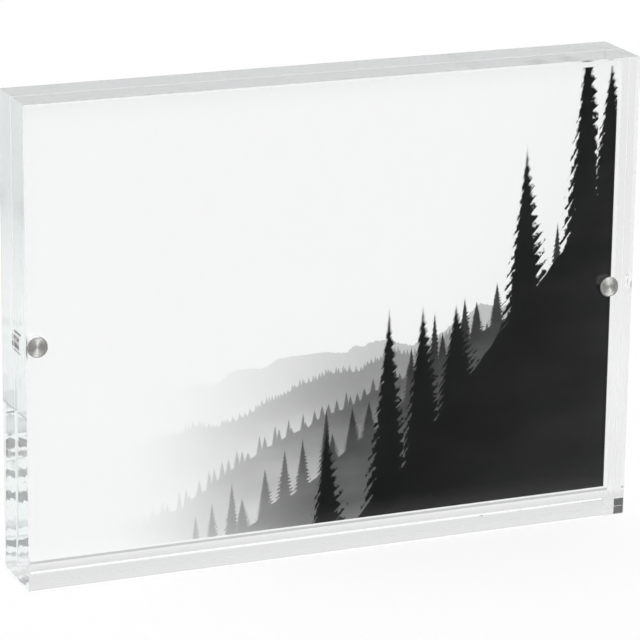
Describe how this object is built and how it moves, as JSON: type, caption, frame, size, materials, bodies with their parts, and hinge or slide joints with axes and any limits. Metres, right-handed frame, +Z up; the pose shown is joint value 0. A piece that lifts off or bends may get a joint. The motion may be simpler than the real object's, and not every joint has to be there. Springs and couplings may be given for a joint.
{
  "type": "acrylic block photo frame",
  "caption": "Free-standing clear acrylic block frame: polished slabs clamp a print between them and are held shut by disc magnets sunk near both ends.",
  "frame": {"origin": "on the table, under the middle of the frame: the middle of the box's bottom face", "axes": "+X along the frame's width to the right as seen from the front, +Y from the front face to the back face, +Z up"},
  "size_m": [0.2, 0.0244, 0.15],
  "materials": {
    "clear_acrylic": "polished",
    "nickel_plate": "polished",
    "print_paper": "satin"
  },
  "bodies": {
    "rear": {"rear_block": "clear_acrylic", "rear_magnet_left": "nickel_plate", "rear_magnet_right": "nickel_plate"},
    "front": {"front_block": "clear_acrylic", "front_magnet_left": "nickel_plate", "front_magnet_right": "nickel_plate"},
    "print": {"photo_print": "print_paper"}
  },
  "joints": [
    {"name": "front_pull_off", "type": "slide", "parent": "rear", "child": "front", "axis": [0, -1, 0], "range_m": [0, 0.06]},
    {"name": "print_draw_up", "type": "slide", "parent": "rear", "child": "print", "axis": [0, 0, 1], "range_m": [0, 0.15]}
  ]
}
